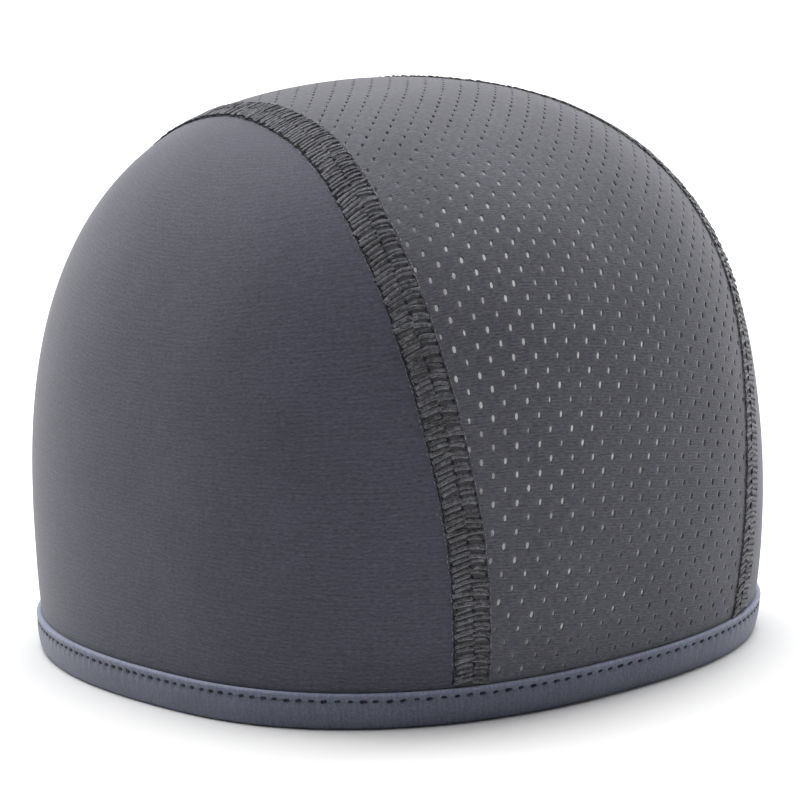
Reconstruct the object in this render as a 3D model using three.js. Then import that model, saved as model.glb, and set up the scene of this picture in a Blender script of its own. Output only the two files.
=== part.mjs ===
// A close-fitting stretch cap that is worn under a helmet. Two smooth side panels and one perforated
// panel from the brow to the nape are joined by flat raised seams, and a folded strip binds the open edge.
// Millimetres, +Z up, brow towards -Y, the wearer's right at -X, the rim resting on z = 0.
import * as THREE from "three";

// Outer form of the cap, to the face of the panels.
const cap_height = 138;
const cap_half_width = 80;
const cap_front_reach = 84.5;
const cap_back_reach = 102.2;

// Cloth, seams and binding.
const panel_wall = 1.2;
const seam_width = 8;
const seam_stand_outside = 0.5;
const seam_stand_inside = 0.3;
const seam_groove = 0.15;
const binding_height = 9;
const binding_wall = 1;
const binding_swell = 0.2;
const piece_gap = 0.3;

// How far the cap reaches at each height, one row for each direction. Level is the height share of the
// widest place, power and root shape the dome above it, and tuck is the share drawn in at the rim.
const reaches = {
  side: { widest: cap_half_width, level: 0.17, power: 2.63, root: 2.67, tuck: 0.02 },
  front: { widest: cap_front_reach, level: 0.39, power: 3.05, root: 2.19, tuck: 0.113 },
  back: { widest: cap_back_reach, level: 0.19, power: 2.36, root: 2.73, tuck: 0 },
};

// How square the outline is from above, where 2 is an ellipse.
const plan_powers = { front: 2.35, back: 2.32 };

// The middle line of a seam. Along is the share of the arc from the brow edge to the nape edge, and
// out is the distance from the middle of the cap as a share of its half width.
const seam_line = [
  { along: 0, out: 0.522 },
  { along: 0.12, out: 0.56 },
  { along: 0.22, out: 0.6 },
  { along: 0.28, out: 0.603 },
  { along: 0.35, out: 0.56 },
  { along: 0.45, out: 0.431 },
  { along: 0.55, out: 0.32 },
  { along: 0.67, out: 0.276 },
  { along: 0.83, out: 0.29 },
  { along: 1, out: 0.34 },
];

// A seam turns from the side of the cap to its top a third of the way along, and back again.
const front_turn = 1 / 3;
const back_turn = 2 / 3;

// How finely each piece is divided.
const rows_up = 18;
const rows_over = 24;
const center_columns = 12;

// Rays start at the core to find the cap's face.
const core_height_share = 0.35;
const core = new THREE.Vector3(
  0,
  (cap_back_reach - cap_front_reach) / 2,
  cap_height * core_height_share,
);
const far_out = 3 * Math.max(cap_height, cap_half_width, cap_front_reach, cap_back_reach);
const halvings = 50;
const tiny_turn = 0.01;

// The lower edge of the panels lies in the fold of the binding.
const panel_bottom = binding_wall + piece_gap;
const binding_stand = piece_gap + binding_wall;

// Moves the middle of the whole cap to the origin.
const centering = (cap_front_reach - cap_back_reach - binding_stand - binding_swell) / 2;

function reach_at(row, height_share) {
  const up = THREE.MathUtils.clamp((height_share - row.level) / (1 - row.level), 0, 1);
  const down = THREE.MathUtils.clamp((row.level - height_share) / row.level, 0, 1);
  return row.widest * (1 - up ** row.power) ** (1 / row.root) * (1 - row.tuck * down ** 2);
}

function is_outside(point) {
  const share = point.z / cap_height;
  if (share >= 1) return true;
  const end = point.y < 0 ? "front" : "back";
  const across = Math.abs(point.x) / reach_at(reaches.side, share);
  const along = Math.abs(point.y) / reach_at(reaches[end], share);
  return across ** plan_powers[end] + along ** plan_powers[end] > 1;
}

// The place where a ray from inside the cap meets its face.
function cast(origin, direction) {
  const unit = direction.clone().normalize();
  let near = 0;
  let far = far_out;
  for (let i = 0; i < halvings; i++) {
    const middle = (near + far) / 2;
    if (is_outside(origin.clone().addScaledVector(unit, middle))) far = middle;
    else near = middle;
  }
  return origin.clone().addScaledVector(unit, near);
}

// The outward normal of the face at a point on it, from rays a little to each side.
function normal_at(point) {
  const unit = point.clone().sub(core).normalize();
  const sideways = new THREE.Vector3(unit.y, -unit.x, 0);
  if (sideways.length() < tiny_turn) sideways.set(1, 0, 0);
  sideways.normalize();
  const upwards = sideways.clone().cross(unit);
  const slope = (turn) =>
    cast(core, unit.clone().addScaledVector(turn, tiny_turn)).sub(
      cast(core, unit.clone().addScaledVector(turn, -tiny_turn)),
    );
  const normal = slope(sideways).cross(slope(upwards)).normalize();
  return normal.dot(unit) < 0 ? normal.negate() : normal;
}

// The place on the face at a height, in a compass direction around the core.
function face_at_height(azimuth, height) {
  const level_core = new THREE.Vector3(0, core.y, height);
  return cast(level_core, new THREE.Vector3(Math.cos(azimuth), Math.sin(azimuth), 0));
}

// The place on the face at a distance from the middle, on a ray that rises by an angle from the brow side.
function face_at_rise(out, rise) {
  const level_core = new THREE.Vector3(out, core.y, core.z);
  return cast(level_core, new THREE.Vector3(0, -Math.cos(rise), Math.sin(rise)));
}

// The angles of the brow edge and the nape edge of the panels at a distance from the middle.
function edge_rises(out) {
  const share = panel_bottom / cap_height;
  const across = Math.abs(out) / reach_at(reaches.side, share);
  const depth = (end) =>
    reach_at(reaches[end], share) * (1 - across ** plan_powers[end]) ** (1 / plan_powers[end]);
  const drop = core.z - panel_bottom;
  return {
    brow: -Math.atan2(drop, depth("front") + core.y),
    nape: Math.PI + Math.atan2(drop, depth("back") - core.y),
  };
}

function face_at_share(out, share) {
  const rises = edge_rises(out);
  return face_at_rise(out, THREE.MathUtils.lerp(rises.brow, rises.nape, share));
}

// A smooth curve through the rows of the seam line, as a share of the half width.
function seam_out(share) {
  const rows = seam_line;
  let i = 0;
  while (i < rows.length - 2 && share > rows[i + 1].along) i++;
  const slope = (k) => {
    const a = rows[Math.max(k - 1, 0)];
    const b = rows[Math.min(k + 1, rows.length - 1)];
    return (b.out - a.out) / (b.along - a.along);
  };
  const step = rows[i + 1].along - rows[i].along;
  const t = (share - rows[i].along) / step;
  return (
    (2 * t ** 3 - 3 * t ** 2 + 1) * rows[i].out +
    (t ** 3 - 2 * t ** 2 + t) * step * slope(i) +
    (3 * t ** 2 - 2 * t ** 3) * rows[i + 1].out +
    (t ** 3 - t ** 2) * step * slope(i + 1)
  );
}

function seam_middle(share) {
  return face_at_share(cap_half_width * seam_out(share), share);
}

// A place on the face beside the middle line of a seam. The distance is positive away from the crown,
// and both ends of the seam stay level with the lower edge of the panels.
function beside_seam(share, distance) {
  const middle = seam_middle(share);
  const before = seam_middle(Math.max(share - tiny_turn, 0));
  const after = seam_middle(Math.min(share + tiny_turn, 1));
  const outward = after.sub(before).cross(normal_at(middle)).normalize();
  if (outward.x < 0) outward.negate();
  const aim = middle.addScaledVector(outward, distance);
  if (share > 0 && share < 1) return cast(core, aim.sub(core));
  return face_at_height(Math.atan2(aim.y - core.y, aim.x), panel_bottom);
}

// The shares of the arc at which the rows of all pieces lie.
function row_shares() {
  const shares = [];
  for (let i = 0; i < rows_up; i++) shares.push((front_turn * i) / rows_up);
  for (let i = 0; i < rows_over; i++)
    shares.push(THREE.MathUtils.lerp(front_turn, back_turn, i / rows_over));
  for (let i = 0; i <= rows_up; i++)
    shares.push(THREE.MathUtils.lerp(back_turn, 1, i / rows_up));
  return shares;
}

// A cloth ring is its outer points from edge to edge and its inner points back again. The points lie
// on the face, and stand and depth give how far the cloth goes out and in from there.
function cloth_ring(points, stand, depth) {
  const normals = points.map(normal_at);
  const outer = points.map((p, i) => p.clone().addScaledVector(normals[i], stand(i)));
  const inner = points.map((p, i) => p.clone().addScaledVector(normals[i], -depth(i)));
  return [...outer, ...inner.reverse()];
}

function signed_volume(positions, index) {
  const corner = (i) => new THREE.Vector3().fromArray(positions, 3 * index[i]);
  let sum = 0;
  for (let i = 0; i < index.length; i += 3)
    sum += corner(i).dot(corner(i + 1).cross(corner(i + 2)));
  return sum / 6;
}

// One closed body from rings of points. A strip is closed by a cap at each end, and a loop meets itself.
function skin(rings, is_loop) {
  const count = rings[0].length;
  const positions = rings.flat().flatMap((p) => [p.x, p.y + centering, p.z]);
  const index = [];
  const quad = (a, b, c, d) => index.push(a, b, c, a, c, d);
  const joins = is_loop ? rings.length : rings.length - 1;
  for (let r = 0; r < joins; r++) {
    const here = r * count;
    const next = ((r + 1) % rings.length) * count;
    for (let i = 0; i < count; i++) {
      const j = (i + 1) % count;
      quad(here + i, here + j, next + j, next + i);
    }
  }
  if (!is_loop) {
    const last = (rings.length - 1) * count;
    for (let i = 0; i < count / 2 - 1; i++) {
      const back = count - 1 - i;
      quad(i, back, back - 1, i + 1);
      quad(last + i, last + i + 1, last + back - 1, last + back);
    }
  }
  if (signed_volume(positions, index) < 0) index.reverse();
  return new THREE.BufferGeometry()
    .setAttribute("position", new THREE.Float32BufferAttribute(positions, 3))
    .setIndex(index);
}

function mirrored(rings) {
  return rings.map((ring) => ring.map((p) => new THREE.Vector3(-p.x, p.y, p.z)));
}

const panel_edge = seam_width / 2 + piece_gap;

function center_panel_rings() {
  return row_shares().map((share) => {
    const edge = beside_seam(share, -panel_edge);
    const rises = edge_rises(edge.x);
    const rise = Math.atan2(edge.z - core.z, core.y - edge.y);
    const full_rise = rise < -Math.PI / 2 ? rise + 2 * Math.PI : rise;
    const own_share =
      share > 0 && share < 1 ? (full_rise - rises.brow) / (rises.nape - rises.brow) : share;
    const points = [];
    for (let i = 0; i <= center_columns; i++)
      points.push(face_at_share(edge.x * ((2 * i) / center_columns - 1), own_share));
    return cloth_ring(points, () => 0, () => panel_wall);
  });
}

// A direction from the core as its compass angle and its height angle.
function aim_of(point) {
  const from_core = point.clone().sub(core);
  return new THREE.Vector2(
    Math.atan2(from_core.y, from_core.x),
    Math.atan2(from_core.z, Math.hypot(from_core.x, from_core.y)),
  );
}

// The left side panel is a patch with four edges: up the seam at the brow, over the top along the
// seam, down the seam at the nape, and the lower edge.
function side_panel_rings() {
  const edge_aims = row_shares().map((share) => aim_of(beside_seam(share, panel_edge)));
  const corner_azimuths = [edge_aims[0].x, edge_aims.at(-1).x];
  const lower = [];
  for (let i = 0; i <= rows_over; i++) {
    const azimuth = THREE.MathUtils.lerp(...corner_azimuths, i / rows_over);
    lower.push(aim_of(face_at_height(azimuth, panel_bottom)));
  }
  const brow = edge_aims.slice(0, rows_up + 1);
  const top = edge_aims.slice(rows_up, rows_up + rows_over + 1);
  const nape = edge_aims.slice(rows_up + rows_over).reverse();
  const mix = (a, b, t) => a.clone().lerp(b, t);
  const rings = [];
  for (let i = 0; i <= rows_over; i++) {
    const points = [];
    for (let j = 0; j <= rows_up; j++) {
      const across = i / rows_over;
      const up = j / rows_up;
      const corners = mix(mix(brow[0], nape[0], across), mix(top[0], top.at(-1), across), up);
      const aim = mix(lower[i], top[i], up).add(mix(brow[j], nape[j], across)).sub(corners);
      const ray = new THREE.Vector3(
        Math.cos(aim.x) * Math.cos(aim.y),
        Math.sin(aim.x) * Math.cos(aim.y),
        Math.sin(aim.y),
      );
      points.push(j === 0 ? face_at_height(aim.x, panel_bottom) : cast(core, ray));
    }
    rings.push(cloth_ring(points, () => 0, () => panel_wall));
  }
  return rings;
}

// Across a seam the outer face rises from both edges and has a groove along its middle. In the
// binding it is as thin as the panels, and it reaches its full height a few millimetres above.
const seam_profile = [
  { across: -1, stand: 0, groove: 0 },
  { across: -0.75, stand: 1, groove: 0 },
  { across: 0, stand: 1, groove: 1 },
  { across: 0.75, stand: 1, groove: 0 },
  { across: 1, stand: 0, groove: 0 },
];
const seam_rise_length = 7;

function seam_rings() {
  return row_shares().map((share) => {
    const points = seam_profile.map((row) => beside_seam(share, (row.across * seam_width) / 2));
    const above = points[2].z - binding_height - piece_gap;
    const growth = THREE.MathUtils.smoothstep(above, 0, seam_rise_length);
    return cloth_ring(
      points,
      (i) =>
        growth * (seam_profile[i].stand * seam_stand_outside - seam_profile[i].groove * seam_groove),
      (i) => panel_wall + growth * seam_profile[i].stand * seam_stand_inside,
    );
  });
}

// The section of the binding, folded up on both sides of the panels' edge. Out is measured from the
// outer face of the panels, and the underside is flat.
const inner_arm = -panel_wall - piece_gap;
const fold_radius = binding_wall * 0.8;
const lip_radius = binding_wall * 0.35;
const binding_section = [
  { out: binding_stand - fold_radius, height: 0 },
  { out: binding_stand - fold_radius * 0.3, height: fold_radius * 0.3 },
  { out: binding_stand, height: fold_radius },
  { out: binding_stand + binding_swell, height: binding_height * 0.45 },
  { out: binding_stand, height: binding_height - lip_radius },
  { out: binding_stand - lip_radius, height: binding_height },
  { out: piece_gap, height: binding_height },
  { out: piece_gap, height: binding_wall },
  { out: inner_arm, height: binding_wall },
  { out: inner_arm, height: binding_height },
  { out: inner_arm - binding_wall, height: binding_height },
  { out: inner_arm - binding_wall, height: fold_radius },
  { out: inner_arm - binding_wall + fold_radius, height: 0 },
];

// The binding turns where the lower edges of the panels and seams turn, so that their faces stay parallel.
function binding_azimuths(center_rings, left_rings, left_seam_rings) {
  const azimuth = (point) => Math.atan2(point.y - core.y, point.x);
  const left = [
    ...left_rings.map((ring) => azimuth(ring[0])),
    azimuth(left_seam_rings[0][2]),
    azimuth(left_seam_rings.at(-1)[2]),
  ];
  const ends = [center_rings[0], center_rings.at(-1)];
  const middle = ends.flatMap((ring) => ring.slice(0, center_columns + 1).map(azimuth));
  return [...left, ...left.map((a) => Math.PI - a), ...middle]
    .map((a) => THREE.MathUtils.euclideanModulo(a, 2 * Math.PI))
    .sort((a, b) => a - b);
}

function binding_rings(azimuths) {
  return azimuths.map((azimuth) =>
    binding_section.map((row) => {
      const ahead = face_at_height(azimuth + tiny_turn, row.height);
      const behind = face_at_height(azimuth - tiny_turn, row.height);
      const along = ahead.sub(behind).normalize();
      const outward = new THREE.Vector3(along.y, -along.x, 0);
      return face_at_height(azimuth, row.height).addScaledVector(outward, row.out);
    }),
  );
}

const cloths = {
  smooth_knit: { color: 0x4a4b54, roughness: 0.78, metalness: 0 },
  perforated_knit: { color: 0x515257, roughness: 0.85, metalness: 0 },
  seam_thread: { color: 0x3f403f, roughness: 0.9, metalness: 0 },
  binding_knit: { color: 0x464852, roughness: 0.76, metalness: 0 },
};

const cap = new THREE.Group();

function add(name, geometry, cloth) {
  const mesh = new THREE.Mesh(geometry, new THREE.MeshStandardMaterial(cloth));
  mesh.name = name;
  cap.add(mesh);
}

const center_panel = center_panel_rings();
const side_panel = side_panel_rings();
const seam = seam_rings();
const rim_binding = binding_rings(binding_azimuths(center_panel, side_panel, seam));
add("center_panel", skin(center_panel, false), cloths.perforated_knit);
add("side_panel_left", skin(side_panel, false), cloths.smooth_knit);
add("side_panel_right", skin(mirrored(side_panel), false), cloths.smooth_knit);
add("seam_left", skin(seam, false), cloths.seam_thread);
add("seam_right", skin(mirrored(seam), false), cloths.seam_thread);
add("rim_binding", skin(rim_binding, true), cloths.binding_knit);

export default cap;
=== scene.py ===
import math

import bpy
import numpy as np
from mathutils import Matrix, Vector


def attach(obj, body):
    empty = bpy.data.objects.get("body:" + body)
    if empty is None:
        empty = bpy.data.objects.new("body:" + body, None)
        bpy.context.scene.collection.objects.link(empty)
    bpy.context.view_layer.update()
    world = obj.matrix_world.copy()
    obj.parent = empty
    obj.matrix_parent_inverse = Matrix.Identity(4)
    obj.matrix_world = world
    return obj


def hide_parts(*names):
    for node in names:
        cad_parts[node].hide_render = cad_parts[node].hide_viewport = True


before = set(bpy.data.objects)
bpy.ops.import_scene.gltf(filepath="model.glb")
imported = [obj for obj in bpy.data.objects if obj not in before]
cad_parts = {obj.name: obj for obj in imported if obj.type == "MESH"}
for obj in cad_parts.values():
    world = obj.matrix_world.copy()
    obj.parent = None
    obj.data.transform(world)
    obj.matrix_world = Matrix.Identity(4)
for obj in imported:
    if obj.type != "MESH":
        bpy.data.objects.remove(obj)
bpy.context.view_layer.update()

MM = 0.001

# Outer form of the cap, to the face of the panels.
CAP_HEIGHT = 138
CAP_HALF_WIDTH = 80
CAP_FRONT_REACH = 84.5
CAP_BACK_REACH = 102.2

# Level is the height share of the widest place, power and root shape the dome above it, and tuck is
# the share drawn in at the rim.
SIDE = {"widest": CAP_HALF_WIDTH, "level": 0.17, "power": 2.63, "root": 2.67, "tuck": 0.02}
FRONT = {"widest": CAP_FRONT_REACH, "level": 0.39, "power": 3.05, "root": 2.19, "tuck": 0.113}
BACK = {"widest": CAP_BACK_REACH, "level": 0.19, "power": 2.36, "root": 2.73, "tuck": 0}

# How square the outline is from above, where 2 is an ellipse.
PLAN_FRONT = 2.35
PLAN_BACK = 2.32

# The middle line of a seam: the share of the arc from brow to nape, and the distance from the middle of
# the cap as a share of its half width.
SEAM_ALONG = np.array([0, 0.12, 0.22, 0.28, 0.35, 0.45, 0.55, 0.67, 0.83, 1])
SEAM_OUT = np.array([0.522, 0.56, 0.6, 0.603, 0.56, 0.431, 0.32, 0.276, 0.29, 0.34])

CORE = np.array([0, (CAP_BACK_REACH - CAP_FRONT_REACH) / 2, 0.35 * CAP_HEIGHT])
FAR_OUT = 300
HALVINGS = 36
TINY_TURN = 0.01

# Cloth, seams and binding.
PANEL_BOTTOM = 1.3
SMOOTH_CLOTH = 1.1
OPEN_CLOTH = 0.4
UNDER_SEAM = 1
SEAM_WIDTH = 8
STITCH_PITCH = 2.75
BINDING_HEIGHT = 9
BINDING_STAND = 1.3
BINDING_SWELL = 0.2
BINDING_STITCH_DROP = 1.8
BINDING_STITCH_PITCH = 3.1
BINDING_STITCH_STAND = 0.95
BINDING_STITCH_SLANT = 0.16
BINDING_PUCKER = 0.16

# How finely the pieces are cut: for each stitch, along and round a thread, and over a side panel.
BAND_STEPS = 4
BINDING_STEPS = 8
THREAD_STEPS = 6
THREAD_SIDES = 6
SIDE_ROWS_UP = 84
SIDE_ROWS_OVER = 110

# How much thinner a thread gets at its ends, and its tones from dark to pale.
THREAD_TAPER = 0.72
THREAD_TONES = (0.8, 1.2)

# How far a seam's stitches stray: along it as a share of a stitch, across it, in stand and in slant.
STRAY_ALONG = 0.05
STRAY_ACROSS = 0.09
STRAY_STAND = 0.04
STRAY_SLANT = 0.11

# The seam's padding starts this far below the binding's edge, and is full after this rise.
PADDING_START = 0.5
PADDING_RISE = 2.5

# A painted highlight: how much paler the binding is painted at some heights up to its folded edge,
# where the fold catches the light.
BINDING_HIGHLIGHT_HEIGHTS = [7.9, 8.5, 8.8, 9.0]
BINDING_HIGHLIGHT = [0, 0.25, 0.8, 1.5]

# The distance on the side panels' cloth for one radian up.
SIDE_CLOTH_RADIUS = 88

# How far the stitches and the eyelets stay above the binding, and the eyelets from a seam.
STITCH_CLEARANCE = 0.7
EYELET_CLEARANCE = 1.2
EYELET_SEAM_GAP = 0.5

# One cell of the perforated cloth, and its eyelet as a share of the cell. Every second cell has one.
CELL_ACROSS = 2.8
CELL_ALONG = 3.415
FIRST_ROW = 2.74
EYELET_ACROSS = 0.28
EYELET_ALONG = 0.5
EYELET_DIP = 0.1

# How far the eyelets are open at some distances from the brow, how much that varies in patches and from
# eyelet to eyelet, and its limits.
OPENING_ALONG = np.array([0, 20, 60, 110, 150, 200, 400])
OPENING_SHARE = np.array([0.6, 0.8, 0.98, 0.98, 0.84, 0.76, 0.76])
OPENING_PATCHES = 0.1
OPENING_UNEVENNESS = 0.2
OPENING_LIMITS = (0.45, 1.15)

# A painted highlight on the eyelets' rims: how much paler the cloth is painted at an eyelet, and how far
# that reaches in cells.
EYELET_HIGHLIGHT = 0.22
EYELET_HIGHLIGHT_REACH = 0.24

# How the open cloth lies on the cap, at some distances from the brow: where its first column is, how wide
# its columns are against the flat cloth, and how much its rows tilt. Rows and columns also bend a little.
LIE_ALONG = np.array([0, 40, 80, 120, 150, 190, 250, 320, 400])
LIE_SHIFT = np.array([-20.6, -17.3, -15.0, -10.2, -2.8, 1.5, 0, -6, -10])
LIE_SPREAD = np.array([1.014, 1.035, 0.99, 0.878, 0.78, 0.78, 0.9, 1, 1])
LIE_TILT = np.array([-0.111, -0.171, -0.232, -0.293, -0.33, -0.32, -0.2, -0.05, 0])
ROW_BEND = 0.0008
COLUMN_BEND = -0.0006

# The columns and the further rows of cells that are tried, enough to pass the seams and both edges.
CELL_COLUMNS = np.arange(-44, 46)
ROWS_BEYOND = 12

CENTERING = (CAP_FRONT_REACH - CAP_BACK_REACH - BINDING_STAND - BINDING_SWELL) / 2


def reach_at(row, share):
    up = np.clip((share - row["level"]) / (1 - row["level"]), 0, 1)
    down = np.clip((row["level"] - share) / row["level"], 0, 1)
    dome = (1 - up ** row["power"]) ** (1 / row["root"])
    return np.maximum(row["widest"] * dome * (1 - row["tuck"] * down**2), 1e-6)


def is_outside(points):
    share = points[..., 2] / CAP_HEIGHT
    in_front = points[..., 1] < 0
    reach = np.where(in_front, reach_at(FRONT, share), reach_at(BACK, share))
    power = np.where(in_front, PLAN_FRONT, PLAN_BACK)
    across = np.abs(points[..., 0]) / reach_at(SIDE, share)
    along = np.abs(points[..., 1]) / reach
    return (share >= 1) | (across**power + along**power > 1)


# The places where rays from inside the cap meet its face.
def cast(origins, directions):
    units = directions / np.linalg.norm(directions, axis=-1, keepdims=True)
    near = np.zeros(units.shape[:-1])
    far = np.full(units.shape[:-1], float(FAR_OUT))
    for _ in range(HALVINGS):
        middle = (near + far) / 2
        outside = is_outside(origins + units * middle[..., None])
        far = np.where(outside, middle, far)
        near = np.where(outside, near, middle)
    return origins + units * near[..., None]


def unit_of(vectors):
    return vectors / np.linalg.norm(vectors, axis=-1, keepdims=True)


# The outward normals of the face at points on it, from rays a little to each side.
def normal_at(points):
    unit = unit_of(points - CORE)
    sideways = np.stack([unit[..., 1], -unit[..., 0], np.zeros(unit.shape[:-1])], axis=-1)
    is_top = np.linalg.norm(sideways, axis=-1) < TINY_TURN
    sideways[is_top] = (1, 0, 0)
    sideways = unit_of(sideways)
    upwards = np.cross(sideways, unit)

    def slope(turn):
        return cast(CORE, unit + turn * TINY_TURN) - cast(CORE, unit - turn * TINY_TURN)

    normal = unit_of(np.cross(slope(sideways), slope(upwards)))
    turned = np.sum(normal * unit, axis=-1, keepdims=True) < 0
    return np.where(turned, -normal, normal)


# The places on the face at heights, in compass directions around the core.
def face_at_height(azimuth, height):
    azimuth, height = np.broadcast_arrays(azimuth, height)
    level_core = np.stack([0 * height, CORE[1] + 0 * height, height + 0.0], axis=-1)
    direction = np.stack([np.cos(azimuth), np.sin(azimuth), 0 * azimuth], axis=-1)
    return cast(level_core, direction)


# The angles of the brow edge and the nape edge of the panels at distances from the middle.
def edge_rises(out):
    share = PANEL_BOTTOM / CAP_HEIGHT
    across = np.abs(out) / reach_at(SIDE, share)
    brow_depth = reach_at(FRONT, share) * (1 - across**PLAN_FRONT) ** (1 / PLAN_FRONT)
    nape_depth = reach_at(BACK, share) * (1 - across**PLAN_BACK) ** (1 / PLAN_BACK)
    drop = CORE[2] - PANEL_BOTTOM
    brow = -np.arctan2(drop, brow_depth + CORE[1])
    nape = np.pi + np.arctan2(drop, nape_depth - CORE[1])
    return brow, nape


# The places on the face at distances from the middle and shares of the arc from brow to nape.
def face_at_share(out, share):
    out, share = np.broadcast_arrays(out, share)
    brow, nape = edge_rises(out)
    rise = brow + (nape - brow) * share
    level_core = np.stack([out + 0.0, CORE[1] + 0 * out, CORE[2] + 0 * out], axis=-1)
    direction = np.stack([0 * rise, -np.cos(rise), np.sin(rise)], axis=-1)
    return cast(level_core, direction)


# A smooth curve through values that are given at some places.
def smooth_between(at, places, values):
    slopes = np.empty(len(values))
    slopes[1:-1] = (values[2:] - values[:-2]) / (places[2:] - places[:-2])
    slopes[0] = (values[1] - values[0]) / (places[1] - places[0])
    slopes[-1] = (values[-1] - values[-2]) / (places[-1] - places[-2])
    row = np.clip(np.searchsorted(places, at, side="right") - 1, 0, len(places) - 2)
    step = places[row + 1] - places[row]
    t = (at - places[row]) / step
    return (
        (2 * t**3 - 3 * t**2 + 1) * values[row]
        + (t**3 - 2 * t**2 + t) * step * slopes[row]
        + (3 * t**2 - 2 * t**3) * values[row + 1]
        + (t**3 - t**2) * step * slopes[row + 1]
    )


def seam_out(share):
    return CAP_HALF_WIDTH * smooth_between(share, SEAM_ALONG, SEAM_OUT)


def seam_middle(share):
    return face_at_share(seam_out(share), share)


# The way along a seam, the way out from the crown across it, and the outward normal.
def seam_directions(share):
    ahead = seam_middle(np.minimum(share + TINY_TURN, 1))
    behind = seam_middle(np.maximum(share - TINY_TURN, 0))
    along = unit_of(ahead - behind)
    normal = normal_at(seam_middle(share))
    across = unit_of(np.cross(along, normal))
    across = np.where(across[..., :1] < 0, -across, across)
    return along, across, normal


# Places on the face beside the middle line of the left seam, positive away from the crown.
def beside_seam(share, distance):
    share, distance = np.broadcast_arrays(share, distance)
    _, across, _ = seam_directions(share)
    aim = seam_middle(share) + across * distance[..., None]
    on_face = cast(CORE, aim - CORE)
    on_edge = face_at_height(np.arctan2(aim[..., 1] - CORE[1], aim[..., 0]), PANEL_BOTTOM)
    is_end = (share <= 0) | (share >= 1)
    return np.where(is_end[..., None], on_edge, on_face)


def mirrored(points):
    return points * (-1, 1, 1)


# Millimetres around the core become metres in the model's frame.
def placed(points):
    return (np.asarray(points, float) + (0, CENTERING, 0)) * MM


def arc_lengths(points, axis=0):
    steps = np.linalg.norm(np.diff(points, axis=axis), axis=-1)
    start = np.zeros_like(np.take(steps, [0], axis=axis))
    return np.concatenate([start, np.cumsum(steps, axis=axis)], axis=axis)


def new_object(name, data):
    piece = bpy.data.objects.new(name, data)
    bpy.context.scene.collection.objects.link(piece)
    return piece


def new_mesh(name, points, faces):
    mesh = bpy.data.meshes.new(name)
    mesh.from_pydata(placed(points).tolist(), [], [list(map(int, face)) for face in faces])
    mesh.update()
    return mesh


def set_attribute(mesh, name, kind, domain, values):
    attribute = mesh.attributes.get(name) or mesh.attributes.new(name, kind, domain)
    field = "vector" if kind == "FLOAT_VECTOR" else "value"
    attribute.data.foreach_set(field, np.asarray(values).ravel())


def vertex_places(mesh):
    places = np.empty(3 * len(mesh.vertices), np.float32)
    mesh.vertices.foreach_get("co", places)
    return places.reshape(-1, 3).astype(float) / MM - (0, CENTERING, 0)


# Quads between rows of points. A loop joins its last row to its first, and a tube its last column.
def grid_faces(rows, columns, is_loop=False, is_tube=False):
    faces = []
    for r in range(rows if is_loop else rows - 1):
        here = r * columns
        ahead = ((r + 1) % rows) * columns
        for c in range(columns if is_tube else columns - 1):
            d = (c + 1) % columns
            faces.append((here + c, here + d, ahead + d, ahead + c))
    return faces


# Turns an open mesh so that its faces look away from the core.
def face_outwards(mesh):
    middle = np.array([polygon.center for polygon in mesh.polygons]) / MM - (0, CENTERING, 0)
    normals = np.array([polygon.normal for polygon in mesh.polygons])
    if np.sum(normals * (middle - CORE)) < 0:
        mesh.flip_normals()


# Turns what the modifiers make into a plain mesh and takes them off.
def made_plain(piece):
    depsgraph = bpy.context.evaluated_depsgraph_get()
    depsgraph.update()
    evaluated = piece.evaluated_get(depsgraph)
    mesh = bpy.data.meshes.new_from_object(evaluated, preserve_all_data_layers=True, depsgraph=depsgraph)
    mesh.name = piece.name
    piece.modifiers.clear()
    piece.data = mesh
    mesh.shade_smooth()
    return piece


def add_wall(piece, thickness):
    wall = piece.modifiers.new("wall", "SOLIDIFY")
    wall.thickness = thickness * MM
    wall.offset = -1


def new_tree(name, inputs):
    tree = bpy.data.node_groups.new(name, "GeometryNodeTree")
    tree.interface.new_socket("Geometry", in_out="OUTPUT", socket_type="NodeSocketGeometry")
    tree.interface.new_socket("Geometry", in_out="INPUT", socket_type="NodeSocketGeometry")
    for socket_name, kind in inputs.items():
        tree.interface.new_socket(socket_name, in_out="INPUT", socket_type="NodeSocket" + kind)
    return tree


def add_node(tree, kind, settings=None, **values):
    node = tree.nodes.new(kind)
    for name, value in (settings or {}).items():
        setattr(node, name, value)
    for name, value in values.items():
        is_number = name[1:].isdigit()
        socket = node.inputs[int(name[1:]) if is_number else name.replace("_", " ")]
        if isinstance(value, bpy.types.NodeSocket):
            tree.links.new(value, socket)
        else:
            socket.default_value = value
    return node


def add_modifier(piece, tree, **values):
    modifier = piece.modifiers.new(tree.name, "NODES")
    modifier.node_group = tree
    sockets = {item.name: item.identifier for item in tree.interface.items_tree if item.in_out == "INPUT"}
    for name, value in values.items():
        modifier[sockets[name.replace("_", " ")]] = value


def finish_tree(tree, geometry, material):
    smooth = add_node(tree, "GeometryNodeSetShadeSmooth", Geometry=geometry)
    real = add_node(tree, "GeometryNodeRealizeInstances", Geometry=smooth.outputs[0])
    dressed = add_node(tree, "GeometryNodeSetMaterial", Geometry=real.outputs[0], Material=material)
    end = tree.nodes.new("NodeGroupOutput")
    tree.links.new(dressed.outputs[0], end.inputs[0])
    return tree


def math_node(tree, operation, *values):
    node = tree.nodes.new("ShaderNodeMath")
    node.operation = operation
    for socket, value in zip(node.inputs, values):
        if isinstance(value, bpy.types.NodeSocket):
            tree.links.new(value, socket)
        else:
            socket.default_value = value
    return node.outputs[0]


# A value that the mesh carries under a name.
def carried(tree, kind, name):
    node = add_node(tree, "GeometryNodeInputNamedAttribute", {"data_type": kind}, Name=name)
    return node.outputs["Attribute"]


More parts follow.
